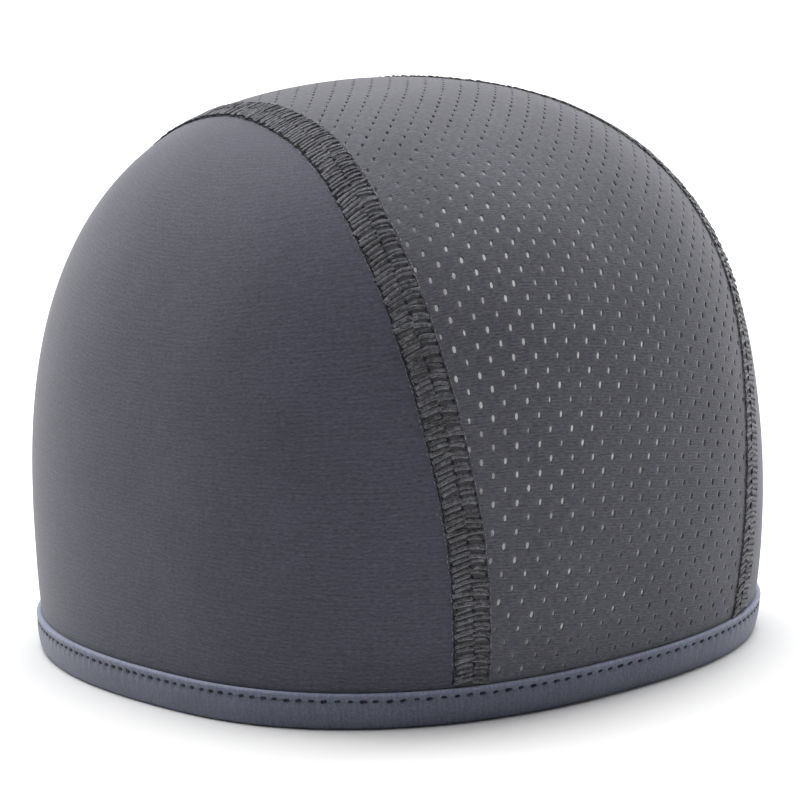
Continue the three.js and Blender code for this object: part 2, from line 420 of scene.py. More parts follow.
# The geometry with its chosen faces scaled along one way.
def faces_scaled(tree, geometry, chosen, scale, axis):
    node = add_node(
        tree,
        "GeometryNodeScaleElements",
        {"domain": "FACE", "scale_mode": "SINGLE_AXIS"},
        Geometry=geometry,
        Selection=chosen,
        Scale=scale,
        Axis=axis,
    )
    return node.outputs[0]


# Opens an eyelet in each cell that has one: the cell's face is shrunk along its two ways, pushed in and
# taken out, and the net that is left is rounded. Eyelets that open less lose more width than length.
def eyelet_tree():
    inputs = {"Across": "Float", "Along": "Float", "Dip": "Float", "Cloth": "Material"}
    tree = new_tree("open_eyelets", inputs)
    given = tree.nodes.new("NodeGroupInput")
    opening = carried(tree, "FLOAT", "opening")
    width = math_node(tree, "MULTIPLY", given.outputs["Across"], opening)
    length = math_node(
        tree, "MULTIPLY", given.outputs["Along"], math_node(tree, "MULTIPLY_ADD", opening, 0.5, 0.5)
    )
    cut = add_node(
        tree,
        "GeometryNodeExtrudeMesh",
        {"mode": "FACES"},
        Mesh=given.outputs["Geometry"],
        Selection=carried(tree, "BOOLEAN", "has_eyelet"),
        Offset_Scale=0.0,
        Individual=True,
    )
    top = cut.outputs["Top"]
    narrow = faces_scaled(tree, cut.outputs["Mesh"], top, width, carried(tree, "FLOAT_VECTOR", "across"))
    short = faces_scaled(tree, narrow, top, length, carried(tree, "FLOAT_VECTOR", "along"))
    normal = tree.nodes.new("GeometryNodeInputNormal")
    depth = math_node(tree, "MULTIPLY", given.outputs["Dip"], -1.0)
    push = add_node(tree, "ShaderNodeVectorMath", {"operation": "SCALE"}, _0=normal.outputs[0], Scale=depth)
    dipped = add_node(
        tree, "GeometryNodeSetPosition", Geometry=short, Selection=top, Offset=push.outputs[0]
    )
    opened = add_node(
        tree, "GeometryNodeDeleteGeometry", {"domain": "FACE"}, Geometry=dipped.outputs[0], Selection=top
    )
    rounded = add_node(tree, "GeometryNodeSubdivisionSurface", Mesh=opened.outputs[0], Level=1)
    return finish_tree(tree, rounded.outputs[0], given.outputs["Cloth"])


# Lays one short thread on each point: it runs along the point's lay, bows to one side, tapers to both
# ends and is pressed flat against the cloth. Sizes and tones vary a little from thread to thread.
def stitch_tree():
    inputs = {"Length": "Float", "Thickness": "Float", "Bow": "Float", "Rise": "Float"}
    inputs.update({"Flatness": "Float", "Unevenness": "Float", "Thread": "Material"})
    tree = new_tree("lay_stitches", inputs)
    given = tree.nodes.new("NodeGroupInput")
    length = given.outputs["Length"]
    start = add_node(tree, "ShaderNodeCombineXYZ", X=math_node(tree, "MULTIPLY", length, -0.5))
    middle = add_node(tree, "ShaderNodeCombineXYZ", Y=given.outputs["Bow"], Z=given.outputs["Rise"])
    end = add_node(tree, "ShaderNodeCombineXYZ", X=math_node(tree, "MULTIPLY", length, 0.5))
    path = add_node(
        tree,
        "GeometryNodeCurveQuadraticBezier",
        Resolution=THREAD_STEPS,
        Start=start.outputs[0],
        Middle=middle.outputs[0],
        End=end.outputs[0],
    )
    place = tree.nodes.new("GeometryNodeSplineParameter")
    from_middle = math_node(tree, "MULTIPLY_ADD", place.outputs["Factor"], 2.0, -1.0)
    steep = math_node(tree, "POWER", math_node(tree, "ABSOLUTE", from_middle), 4.0)
    taper = math_node(tree, "MULTIPLY_ADD", steep, -THREAD_TAPER, 1.0)
    shaped = add_node(tree, "GeometryNodeSetCurveRadius", Curve=path.outputs[0], Radius=taper)
    radius = math_node(tree, "MULTIPLY", given.outputs["Thickness"], 0.5)
    section = add_node(tree, "GeometryNodeCurvePrimitiveCircle", Resolution=THREAD_SIDES, Radius=radius)
    thread = add_node(
        tree,
        "GeometryNodeCurveToMesh",
        Curve=shaped.outputs[0],
        Profile_Curve=section.outputs[0],
        Fill_Caps=True,
    )
    flat = add_node(tree, "ShaderNodeCombineXYZ", X=1.0, Y=1.0, Z=given.outputs["Flatness"])
    pressed = add_node(tree, "GeometryNodeTransform", Geometry=thread.outputs[0], Scale=flat.outputs[0])
    own_place = tree.nodes.new("GeometryNodeInputPosition")
    placed_thread = add_node(
        tree,
        "GeometryNodeStoreNamedAttribute",
        {"data_type": "FLOAT_VECTOR", "domain": "POINT"},
        Geometry=pressed.outputs[0],
        Name="thread_place",
        Value=own_place.outputs[0],
    )
    turned = add_node(
        tree,
        "FunctionNodeAxesToRotation",
        {"primary_axis": "X", "secondary_axis": "Z"},
        Primary_Axis=carried(tree, "FLOAT_VECTOR", "lay"),
        Secondary_Axis=carried(tree, "FLOAT_VECTOR", "up"),
    )
    least = math_node(tree, "SUBTRACT", 1.0, given.outputs["Unevenness"])
    most = math_node(tree, "ADD", 1.0, given.outputs["Unevenness"])
    size = add_node(tree, "FunctionNodeRandomValue", {"data_type": "FLOAT"}, _2=least, _3=most, Seed=7)
    laid = add_node(
        tree,
        "GeometryNodeInstanceOnPoints",
        Points=given.outputs["Geometry"],
        Instance=placed_thread.outputs[0],
        Rotation=turned.outputs[0],
        Scale=size.outputs[1],
    )
    darkest, palest = THREAD_TONES
    tone = add_node(
        tree, "FunctionNodeRandomValue", {"data_type": "FLOAT"}, _2=darkest, _3=palest, Seed=11
    )
    toned = add_node(
        tree,
        "GeometryNodeStoreNamedAttribute",
        {"data_type": "FLOAT", "domain": "INSTANCE"},
        Geometry=laid.outputs[0],
        Name="thread_tone",
        Value=tone.outputs[1],
    )
    return finish_tree(tree, toned.outputs[0], given.outputs["Thread"])


def new_material(name, color, roughness, sheen, sheen_roughness, specular):
    material = bpy.data.materials.new(name)
    material.use_nodes = True
    shader = material.node_tree.nodes["Principled BSDF"]
    shader.inputs["Base Color"].default_value = (*color, 1)
    shader.inputs["Roughness"].default_value = roughness
    shader.inputs["Sheen Weight"].default_value = sheen
    shader.inputs["Sheen Roughness"].default_value = sheen_roughness
    shader.inputs["Specular IOR Level"].default_value = specular
    return material, shader


def noise_node(tree, vector, scale, detail=2.0, distortion=0.0):
    values = {"Vector": vector, "Scale": scale, "Detail": detail, "Distortion": distortion}
    return add_node(tree, "ShaderNodeTexNoise", **values).outputs["Fac"]


def scaled_place(tree, vector, scale):
    node = add_node(tree, "ShaderNodeVectorMath", {"operation": "MULTIPLY"}, _0=vector, _1=scale)
    return node.outputs[0]


# Waves of a given length along one way of the cloth, from 0 to 1, bent a little by a shift.
def waves(tree, place, length, shift):
    turns = math_node(tree, "MULTIPLY_ADD", place, 2 * math.pi / length, shift)
    wave = math_node(tree, "SINE", turns)
    return math_node(tree, "MULTIPLY_ADD", wave, 0.5, 0.5)


def shade_and_bump(tree, shader, color, shade, relief, depth):
    tint = add_node(tree, "ShaderNodeVectorMath", {"operation": "SCALE"}, _0=color, Scale=shade)
    tree.links.new(tint.outputs[0], shader.inputs["Base Color"])
    bump = add_node(tree, "ShaderNodeBump", Height=relief, Strength=1.0, Distance=depth)
    tree.links.new(bump.outputs[0], shader.inputs["Normal"])


# A fine knit: yarn in short dashes along the courses, fuzz, soft patches, a few bits of lint, and a painted
# highlight that makes the cloth paler along edges that catch the light.
def knit_material(name, color, roughness, sheen, dash, course, contrast, depth, lint):
    material, shader = new_material(name, color, roughness, sheen, 0.5, 0.2)
    tree = material.node_tree
    place = add_node(tree, "ShaderNodeAttribute", {"attribute_name": "cloth_place"}).outputs["Vector"]
    # The attribute read here paints a highlight: paler cloth on edges that catch the light.
    highlight = add_node(tree, "ShaderNodeAttribute", {"attribute_name": "painted_highlight"}).outputs["Fac"]
    split = add_node(tree, "ShaderNodeSeparateXYZ", Vector=place)
    dashes = noise_node(tree, scaled_place(tree, place, (1 / dash[0], 1 / dash[1], 1.0)), 1.0, 3.0)
    wander = noise_node(tree, scaled_place(tree, place, (0.12, 0.4, 1.0)), 1.0, 2.0)
    courses = waves(tree, split.outputs["Y"], course, math_node(tree, "MULTIPLY", wander, 14.0))
    fuzz = noise_node(tree, place, 3.2, 2.0)
    mottle = noise_node(tree, scaled_place(tree, place, (0.3, 0.6, 1.0)), 1.0, 2.0)
    patches = noise_node(tree, place, 0.05, 2.0)
    woven = math_node(tree, "MULTIPLY_ADD", courses, 0.12, dashes)
    relief = math_node(tree, "MULTIPLY_ADD", fuzz, 0.6, woven)
    fine = math_node(tree, "MULTIPLY_ADD", relief, contrast, 1 - 0.86 * contrast)
    mottled = math_node(tree, "MULTIPLY_ADD", mottle, 0.35, 0.65)
    soft = math_node(tree, "MULTIPLY_ADD", patches, 0.35, mottled)
    paler = math_node(tree, "MULTIPLY_ADD", highlight, soft, soft)
    shade = math_node(tree, "MULTIPLY", fine, paler)
    specks = add_node(tree, "ShaderNodeTexVoronoi", Vector=place, Scale=0.075).outputs["Distance"]
    speck = add_node(
        tree, "ShaderNodeMapRange", Value=specks, From_Min=0.012, From_Max=0.026, To_Min=lint, To_Max=0.0
    ).outputs["Result"]
    shade = math_node(tree, "ADD", shade, speck)
    shade_and_bump(tree, shader, color, shade, relief, depth * MM)
    return material


# Sewing thread: twisted strands along each stitch, fuzz, and a tone of its own for each stitch.
def thread_material(name, color, roughness, sheen):
    material, shader = new_material(name, color, roughness, sheen, 0.45, 0.2)
    tree = material.node_tree
    place = add_node(tree, "ShaderNodeAttribute", {"attribute_name": "thread_place"}).outputs["Vector"]
    tone = add_node(tree, "ShaderNodeAttribute", {"attribute_name": "thread_tone"}).outputs["Fac"]
    split = add_node(tree, "ShaderNodeSeparateXYZ", Vector=place)
    on_cap = add_node(tree, "ShaderNodeTexCoord").outputs["Object"]
    fuzz = noise_node(tree, on_cap, 2400.0, 3.0, 0.6)
    patches = noise_node(tree, on_cap, 240.0, 2.0)
    frayed = math_node(tree, "MULTIPLY", fuzz, 5.0)
    twist = math_node(tree, "MULTIPLY_ADD", split.outputs["X"], 5200.0, frayed)
    strands = waves(tree, split.outputs["Y"], 0.36 * MM, twist)
    relief = math_node(tree, "MULTIPLY_ADD", fuzz, 2.0, math_node(tree, "MULTIPLY", strands, 0.5))
    shade = math_node(tree, "MULTIPLY_ADD", relief, 1.3, -0.6)
    blots = noise_node(tree, on_cap, 850.0, 2.0, 0.5)
    blotted = math_node(tree, "MULTIPLY_ADD", blots, 2.6, -0.85)
    worn = math_node(tree, "ADD", patches, blotted)
    toned = math_node(tree, "MULTIPLY", tone, worn)
    shade_and_bump(tree, shader, color, math_node(tree, "MULTIPLY", shade, toned), relief, 0.07 * MM)
    return material


# The ground under a seam's threads: felted cloth, painted darker than the threads as shade between the
# stitches.
def ground_material(name, color):
    material, shader = new_material(name, color, 0.9, 0.1, 0.5, 0.1)
    tree = material.node_tree
    on_cap = add_node(tree, "ShaderNodeTexCoord").outputs["Object"]
    fuzz = noise_node(tree, on_cap, 1500.0, 4.0, 0.4)
    shade = math_node(tree, "MULTIPLY_ADD", fuzz, 1.0, 0.5)
    shade_and_bump(tree, shader, color, shade, fuzz, 0.1 * MM)
    return material


smooth_knit = knit_material(
    "smooth_knit",
    color=(0.069, 0.07, 0.097),
    roughness=0.72,
    sheen=0.22,
    dash=(1.1, 0.42),
    course=1.1,
    contrast=1.4,
    depth=0.04,
    lint=0.6,
)
perforated_knit = knit_material(
    "perforated_knit",
    color=(0.089, 0.09, 0.106),
    roughness=0.8,
    sheen=0.22,
    dash=(1.3, 0.4),
    course=0.75,
    contrast=1.6,
    depth=0.05,
    lint=0.0,
)
binding_knit = knit_material(
    "binding_knit",
    color=(0.141, 0.151, 0.208),
    roughness=0.7,
    sheen=0.25,
    dash=(0.7, 0.6),
    course=1.4,
    contrast=0.9,
    depth=0.04,
    lint=0.3,
)
seam_thread = thread_material("seam_thread", (0.1, 0.101, 0.112), 0.85, 0.4)
# The seam's ground is darker than its threads partly as painted shade between the stitches.
seam_ground = ground_material("seam_ground", (0.072, 0.072, 0.08))
# Dark thread, also used as painted shade in the seam's pits and along the ear's edge.
dark_thread_and_shade = thread_material("dark_thread_and_shade", (0.022, 0.022, 0.026), 0.85, 0.05)
navy_thread = thread_material("navy_thread", (0.032, 0.034, 0.053), 0.8, 0.1)
pale_thread = thread_material("pale_thread", (0.17, 0.17, 0.18), 0.75, 0.1)

# The perforated panel is measured along its middle and across from there, so that its cells keep
# their size.
TABLE_SHARES = np.linspace(0, 1, 261)
TABLE_OUTS = np.linspace(0, 64, 65)
TABLE_POINTS = face_at_share(TABLE_OUTS[None, :], TABLE_SHARES[:, None])
TABLE_ACROSS = arc_lengths(TABLE_POINTS, axis=1)
TABLE_ALONG = arc_lengths(TABLE_POINTS[:, 0])

# How far the seam is across from the middle, and the cosine of its lean there.
SEAM_ACROSS = np.array(
    [np.interp(seam_out(s), TABLE_OUTS, row) for s, row in zip(TABLE_SHARES, TABLE_ACROSS)]
)
SEAM_LEAN = np.cos(np.arctan(np.gradient(SEAM_ACROSS) / np.gradient(TABLE_ALONG)))


# The places on the face at distances across from the middle and along from the brow.
def face_at_arcs(across, along):
    share = np.interp(along, TABLE_ALONG, TABLE_SHARES)
    position = share * (len(TABLE_SHARES) - 1)
    row = np.minimum(position.astype(int), len(TABLE_SHARES) - 2)
    blend = (position - row)[..., None]
    arcs = TABLE_ACROSS[row] * (1 - blend) + TABLE_ACROSS[row + 1] * blend
    reach = np.minimum(np.abs(across), arcs[..., -1])
    column = np.clip((arcs < reach[..., None]).sum(axis=-1) - 1, 0, len(TABLE_OUTS) - 2)
    start = np.take_along_axis(arcs, column[..., None], -1)[..., 0]
    end = np.take_along_axis(arcs, column[..., None] + 1, -1)[..., 0]
    return face_at_share(np.sign(across) * (column + (reach - start) / (end - start)), share)


# Distances across and along for the rows and columns of the open cloth, which are in millimetres on
# the flat.
def lie_of(columns, rows):
    spread = smooth_between(rows, LIE_ALONG, LIE_SPREAD)
    across = smooth_between(rows, LIE_ALONG, LIE_SHIFT) + spread * columns + COLUMN_BEND * columns**2
    along = rows + smooth_between(rows, LIE_ALONG, LIE_TILT) * columns + ROW_BEND * columns**2
    return across, along


# The same the other way round, found in a few steps.
def flat_of(across, along):
    rows = along
    columns = across
    for _ in range(8):
        spread = smooth_between(rows, LIE_ALONG, LIE_SPREAD)
        bend = COLUMN_BEND * columns**2
        columns = (across - smooth_between(rows, LIE_ALONG, LIE_SHIFT) - bend) / spread
        tilt = smooth_between(rows, LIE_ALONG, LIE_TILT) * columns + ROW_BEND * columns**2
        rows = np.clip(along - tilt, LIE_ALONG[0] - 20, LIE_ALONG[-1] + 20)
    return columns, rows


# Where each point of the panel is on the flat cloth.
def center_cloth_place(points):
    rise = np.arctan2(points[:, 2] - CORE[2], CORE[1] - points[:, 1])
    rise = np.where(rise < -np.pi / 2, rise + 2 * np.pi, rise)
    brow, nape = edge_rises(np.clip(np.abs(points[:, 0]), 0, TABLE_OUTS[-1]))
    share = np.clip((rise - brow) / (nape - brow), 0, 1)
    row = np.minimum((share * (len(TABLE_SHARES) - 1)).astype(int), len(TABLE_SHARES) - 2)
    column = np.minimum(np.abs(points[:, 0]).astype(int), len(TABLE_OUTS) - 2)
    down = share * (len(TABLE_SHARES) - 1) - row
    right = np.abs(points[:, 0]) - column
    near = TABLE_ACROSS[row, column] * (1 - right) + TABLE_ACROSS[row, column + 1] * right
    far = TABLE_ACROSS[row + 1, column] * (1 - right) + TABLE_ACROSS[row + 1, column + 1] * right
    across = np.sign(points[:, 0]) * (near * (1 - down) + far * down)
    columns, rows = flat_of(across, np.interp(share, TABLE_SHARES, TABLE_ALONG))
    return np.stack([columns, rows, 0 * rows], axis=-1)


def make_center_panel():
    length = TABLE_ALONG[-1]
    rows = np.arange(-ROWS_BEYOND, math.ceil(length / CELL_ALONG) + ROWS_BEYOND)
    flat_columns, flat_rows = np.meshgrid(
        (CELL_COLUMNS - 0.5) * CELL_ACROSS, FIRST_ROW + (rows - 0.5) * CELL_ALONG
    )
    across, along = lie_of(flat_columns, flat_rows)
    points = face_at_arcs(across, np.clip(along, 0, length))
    count = len(CELL_COLUMNS)
    faces = []
    eyelets = []
    openings = []
    wander = np.random.default_rng(5)
    for r in range(len(rows) - 1):
        for c in range(count - 1):
            middle_along = along[r : r + 2, c : c + 2].mean()
            middle_across = abs(across[r : r + 2, c : c + 2].mean())
            seam = round(np.interp(middle_along, TABLE_ALONG, TABLE_SHARES) * (len(TABLE_SHARES) - 1))
            beyond = (middle_across - SEAM_ACROSS[seam]) * SEAM_LEAN[seam]
            if beyond > 0 or middle_along < 0 or middle_along > length:
                continue
            corner = r * count + c
            faces.append((corner, corner + 1, corner + count + 1, corner + count))
            height = points[r : r + 2, c : c + 2, 2].mean()
            is_off_seam = beyond < -SEAM_WIDTH / 2 - EYELET_SEAM_GAP
            is_clear = is_off_seam and height > BINDING_HEIGHT + EYELET_CLEARANCE
            eyelets.append((CELL_COLUMNS[c] + rows[r]) % 2 == 0 and is_clear)
            patch = math.sin(0.55 * c + 0.31 * r) * math.sin(0.43 * r - 0.37 * c)
            opening = np.interp(middle_along, OPENING_ALONG, OPENING_SHARE)
            opening = opening * (1 + OPENING_PATCHES * patch) + wander.normal(0, OPENING_UNEVENNESS)
            openings.append(np.clip(opening, *OPENING_LIMITS))
    used, renumbered = np.unique(np.array(faces), return_inverse=True)
    faces = renumbered.reshape(-1, 4)
    points = points.reshape(-1, 3)[used]
    mesh = new_mesh("center_panel", points, faces)
    corners = points[faces]
    across = corners[:, 1] + corners[:, 2] - corners[:, 0] - corners[:, 3]
    along = corners[:, 2] + corners[:, 3] - corners[:, 0] - corners[:, 1]
    set_attribute(mesh, "has_eyelet", "BOOLEAN", "FACE", eyelets)
    set_attribute(mesh, "opening", "FLOAT", "FACE", openings)
    set_attribute(mesh, "across", "FLOAT_VECTOR", "FACE", across)
    set_attribute(mesh, "along", "FLOAT_VECTOR", "FACE", along)
    face_outwards(mesh)
    piece = new_object("center_panel_cloth", mesh)
    add_modifier(
        piece,
        eyelet_tree(),
        Across=EYELET_ACROSS,
        Along=EYELET_ALONG,
        Dip=EYELET_DIP * MM,
        Cloth=perforated_knit,
    )
    add_wall(piece, OPEN_CLOTH)
    made_plain(piece)
    place = center_cloth_place(vertex_places(piece.data))
    set_attribute(piece.data, "cloth_place", "FLOAT_VECTOR", "POINT", place)
    column = place[:, 0] / CELL_ACROSS
    row = (place[:, 1] - FIRST_ROW) / CELL_ALONG
    diagonals = np.stack([column + row, column - row]) / 2
    from_eyelet = np.linalg.norm(diagonals - np.round(diagonals), axis=0)
    # Painted highlight: the cloth is made paler at each eyelet's rim, where it would catch the light.
    highlight = EYELET_HIGHLIGHT * np.exp(-((from_eyelet / EYELET_HIGHLIGHT_REACH) ** 2))
    set_attribute(piece.data, "painted_highlight", "FLOAT", "POINT", highlight)
    return piece


# The compass direction and the rise of points, seen from the core.
def aims_of(points):
    from_core = points - CORE
    flat_reach = np.hypot(from_core[..., 0], from_core[..., 1])
    azimuth = np.arctan2(from_core[..., 1], from_core[..., 0])
    return np.stack([azimuth, np.arctan2(from_core[..., 2], flat_reach)], axis=-1)


# A side panel is a patch with four edges: up the seam at the brow, over the top along the seam, down the
# seam at the nape, and the lower edge. Its edges lie under the seam.
def side_panel_points():
    brow_shares = np.linspace(0, 1 / 3, SIDE_ROWS_UP + 1)
    top_shares = np.linspace(1 / 3, 2 / 3, SIDE_ROWS_OVER + 1)
    nape_shares = np.linspace(1, 2 / 3, SIDE_ROWS_UP + 1)
    brow = aims_of(beside_seam(brow_shares, UNDER_SEAM))
    top = aims_of(beside_seam(top_shares, UNDER_SEAM))
    nape = aims_of(beside_seam(nape_shares, UNDER_SEAM))
    azimuths = np.linspace(brow[0, 0], nape[0, 0], SIDE_ROWS_OVER + 1)
    lower = aims_of(face_at_height(azimuths, PANEL_BOTTOM))
    s = np.linspace(0, 1, SIDE_ROWS_OVER + 1)[:, None, None]
    t = np.linspace(0, 1, SIDE_ROWS_UP + 1)[None, :, None]
    corners = (brow[0] * (1 - s) + nape[0] * s) * (1 - t) + (top[0] * (1 - s) + top[-1] * s) * t
    aim = lower[:, None] * (1 - t) + top[:, None] * t
    aim = aim + brow[None, :] * (1 - s) + nape[None, :] * s - corners
    azimuth, rise = aim[..., 0], aim[..., 1]
    level = np.cos(rise)
    rays = np.stack([np.cos(azimuth) * level, np.sin(azimuth) * level, np.sin(rise)], axis=-1)
    points = cast(CORE, rays)
    points[:, 0] = face_at_height(azimuth[:, 0], PANEL_BOTTOM)
    return points


def side_cloth_place(points):
    aim = aims_of(points)
    around = np.arctan2(points[:, 1] - CORE[1], np.abs(points[:, 0]))
    return np.stack([around * CAP_HALF_WIDTH, aim[:, 1] * SIDE_CLOTH_RADIUS, 0 * around], axis=-1)


def make_side_panel(name, is_right):
    points = side_panel_points()
    if is_right:
        points = mirrored(points)
    mesh = new_mesh(name, points.reshape(-1, 3), grid_faces(SIDE_ROWS_OVER + 1, SIDE_ROWS_UP + 1))
    face_outwards(mesh)
    mesh.materials.append(smooth_knit)
    piece = new_object(name + "_cloth", mesh)
    add_wall(piece, SMOOTH_CLOTH)
    made_plain(piece)
    place = side_cloth_place(vertex_places(piece.data))
    set_attribute(piece.data, "cloth_place", "FLOAT_VECTOR", "POINT", place)
    return piece


# The seam's length is cut into whole stitches, and each stitch into steps.
SEAM_TABLE = np.linspace(0, 1, 601)
SEAM_ARC = arc_lengths(seam_middle(SEAM_TABLE))
STITCH_COUNT = round(SEAM_ARC[-1] / STITCH_PITCH)


def share_at_stitch(stitch):
    return np.interp(np.asarray(stitch) / STITCH_COUNT * SEAM_ARC[-1], SEAM_ARC, SEAM_TABLE)


# Across a seam, from the crown's side to the ear's side and back inside: distance from the middle and
# stand above the face.
BAND_SECTION = [(-4.3, -0.1), (-3.9, 0.02), (-3.2, 0.12), (-2.2, 0.18), (-1.0, 0.15), (-0.2, 0.05)]
BAND_SECTION += [(0.3, 0.15), (0.8, 0.23), (2.0, 0.25), (3.2, 0.22), (4.0, 0.12), (4.4, 0.02)]
BAND_SECTION += [(4.6, -0.2), (4.0, -1.25), (3.0, -1.5), (0.0, -1.45), (-3.0, -1.5), (-3.9, -1.25)]


def padding_share(points):
    above = np.clip((points[..., 2] - BINDING_HEIGHT + PADDING_START) / PADDING_RISE, 0, 1)
    return above * above * (3 - 2 * above)


def make_seam_band(name, is_right):
    steps = BAND_STEPS * STITCH_COUNT
    shares = share_at_stitch(np.arange(steps + 1) / BAND_STEPS)
    section = np.array(BAND_SECTION)
    points = beside_seam(shares[:, None], section[None, :, 0])
    stand = section[None, :, 1] * np.where(section[None, :, 1] > 0, padding_share(points), 1)
    points = points + normal_at(points) * stand[..., None]
    if is_right:
        points = mirrored(points)
    count = len(section)
    faces = grid_faces(steps + 1, count, is_tube=True)
    faces.append(list(range(count)))
    faces.append([steps * count + i for i in reversed(range(count))])
    mesh = new_mesh(name, points.reshape(-1, 3), faces)
    fix_volume(mesh)
    mesh.materials.append(seam_ground)
    mesh.shade_smooth()
    return new_object(name + "_band", mesh)


# Turns a closed mesh the right way out.
def fix_volume(mesh):
    mesh.calc_loop_triangles()
    triangles = np.empty(3 * len(mesh.loop_triangles), np.int32)
    mesh.loop_triangles.foreach_get("vertices", triangles)
    corners = vertex_places(mesh)[triangles.reshape(-1, 3)]
    if np.sum(corners[:, 0] * np.cross(corners[:, 1], corners[:, 2])) < 0:
        mesh.flip_normals()


# One row of stitches on a seam: which stitches, how far from the middle, how high, and how they slant.
def stitch_row(name, is_right, phases, distance, stand, slant, sizes, thread, seed):
    wander = np.random.default_rng(seed)
    stitches = (np.arange(STITCH_COUNT)[:, None] + np.array(phases)[None, :]).ravel()
    stitches = np.clip(stitches + wander.normal(0, STRAY_ALONG, len(stitches)), 0, STITCH_COUNT)
    distances = distance + wander.normal(0, STRAY_ACROSS, len(stitches))
    shares = share_at_stitch(stitches)
    points = beside_seam(shares, distances)
    is_clear = points[:, 2] > BINDING_HEIGHT + STITCH_CLEARANCE
    points = points[is_clear]
    along, across, _ = seam_directions(shares[is_clear])
    normals = normal_at(points)
    points = points + normals * (stand + wander.normal(0, STRAY_STAND, (len(points), 1)))
    slants = slant + wander.normal(0, STRAY_SLANT, (len(points), 1))
    lay = across * np.cos(slants) + along * np.sin(slants)
    if is_right:
        points, lay, normals = mirrored(points), mirrored(lay), mirrored(normals)
    mesh = new_mesh(name, points, [])
    set_attribute(mesh, "lay", "FLOAT_VECTOR", "POINT", lay)
    set_attribute(mesh, "up", "FLOAT_VECTOR", "POINT", normals)
    piece = new_object(name, mesh)
    add_modifier(piece, stitches_on_points, **sizes, Thread=thread)
    return made_plain(piece)


def sizes_of(length, thickness, bow=0.0, rise=0.0, flatness=0.5, unevenness=0.18):
    return {
        "Length": length * MM,
        "Thickness": thickness * MM,
        "Bow": bow * MM,
        "Rise": rise * MM,
        "Flatness": flatness,
        "Unevenness": unevenness,
    }


def joined(name, pieces):
    with bpy.context.temp_override(
        active_object=pieces[0], selected_editable_objects=pieces, selected_objects=pieces
    ):
        bpy.ops.object.join()
    pieces[0].name = name
    pieces[0].data.name = name
    return pieces[0]


# Each row: stitches of a pitch, distance, stand, slant, length, thickness, bow, rise and thread.
SEAM_ROWS = {
    "ribs": ([0.0, 0.5], 2.05, 0.22, -0.2, 4.5, 1.1, 0.3, 0.1, seam_thread),
    "loops": ([0.28, 0.64], -1.95, 0.18, 0.12, 3.7, 0.98, 0.6, 0.12, seam_thread),
    # Painted shade: dark thread put in the pits in the middle of the seam, where there is only shade.
    "pit_shade": ([0.98], -0.15, 0.3, 1.2, 0.8, 0.6, 0.0, 0.0, dark_thread_and_shade),
    # A dark thread line along the ear's edge, partly real thread and partly painted shade of the groove
    # there.
    "ear_line": ([0.0, 0.25, 0.5, 0.75], 4.5, 0.04, 1.5, 0.8, 0.27, 0.0, 0.0, dark_thread_and_shade),
    "ear_ticks": ([0.25], 4.0, 0.34, 1.0, 1.0, 0.36, 0.0, 0.0, dark_thread_and_shade),
    "ear_specks": ([0.1, 0.6], 4.95, 0.0, 1.45, 0.8, 0.2, 0.0, 0.0, pale_thread),
    "crown_line": ([0.1, 0.45, 0.8], -4.35, 0.03, 1.5, 0.9, 0.22, 0.0, 0.0, pale_thread),
    # Painted shade: dark thread put in the pits by the crown's edge, where there is only shade.
    "crown_pit_shade": ([0.0], -3.75, 0.14, 1.25, 0.9, 0.5, 0.0, 0.0, dark_thread_and_shade),
}


def make_seam_stitches(name, is_right):
    turn = -1 if is_right else 1
    rows = []
    for seed, (row_name, row) in enumerate(SEAM_ROWS.items()):
        phases, distance, stand, slant, length, thickness, bow, rise, thread = row
        sizes = sizes_of(length, thickness, bow=bow * turn, rise=rise)
        place = (phases, distance, stand, slant)
        rows.append(stitch_row(row_name, is_right, *place, sizes, thread, seed))
    return joined(name + "_stitches", rows)


# The section of the binding, folded up on both sides of the panels' edge. Out is measured from the outer
# face of the panels. Pucker is how much a place is drawn in at each stitch.
BINDING_SECTION = [
    (0.15, 0.0, 0),
    (0.78, 0.07, 0),
    (1.08, 0.3, 0),
    (1.26, 0.75, 0),
    (1.38, 1.5, 0),
    (1.46, 2.6, 0),
    (1.5, 3.8, 0.05),
    (1.49, 5.0, 0.1),
    (1.42, 5.9, 0.25),
    (1.26, 6.6, 0.6),
    (1.08, 7.0, 0.9),
    (1.0, 7.2, 1),
    (1.08, 7.4, 0.9),
    (1.22, 7.75, 0.5),
    (1.3, 8.2, 0.2),
    (1.27, 8.6, 0.15),
    (1.1, 8.88, 0.1),
    (0.8, 9.02, 0.1),
    (0.3, 9.06, 0.05),
    (-0.05, 9.0, 0),
    (0.1, 8.3, 0),
    (0.15, 5.0, 0),
    (0.15, 1.1, 0),
    (-1.5, 1.1, 0),
    (-1.5, 5.0, 0),
    (-1.5, 8.7, 0),
    (-1.75, 8.95, 0),
    (-2.1, 8.95, 0),
    (-2.4, 8.6, 0),
    (-2.5, 7.2, 0),
    (-2.55, 4.5, 0),
    (-2.5, 1.2, 0),
    (-2.3, 0.4, 0),
    (-1.8, 0.05, 0),
    (-1.4, 0.0, 0),
]
FINE_AZIMUTHS = np.linspace(0, 2 * np.pi, 1441)
HEM_ARC = arc_lengths(face_at_height(FINE_AZIMUTHS, BINDING_HEIGHT - BINDING_STITCH_DROP))
HEM_STITCHES = round(HEM_ARC[-1] / BINDING_STITCH_PITCH)


def azimuth_at_stitch(stitch):
    return np.interp(np.asarray(stitch) / HEM_STITCHES * HEM_ARC[-1], HEM_ARC, FINE_AZIMUTHS)


def hem_directions(azimuth, height):
    ahead = face_at_height(azimuth + TINY_TURN, height)
    behind = face_at_height(azimuth - TINY_TURN, height)
    along = unit_of(ahead - behind)
    outward = np.stack([along[..., 1], -along[..., 0], 0 * along[..., 0]], axis=-1)
    return along, outward


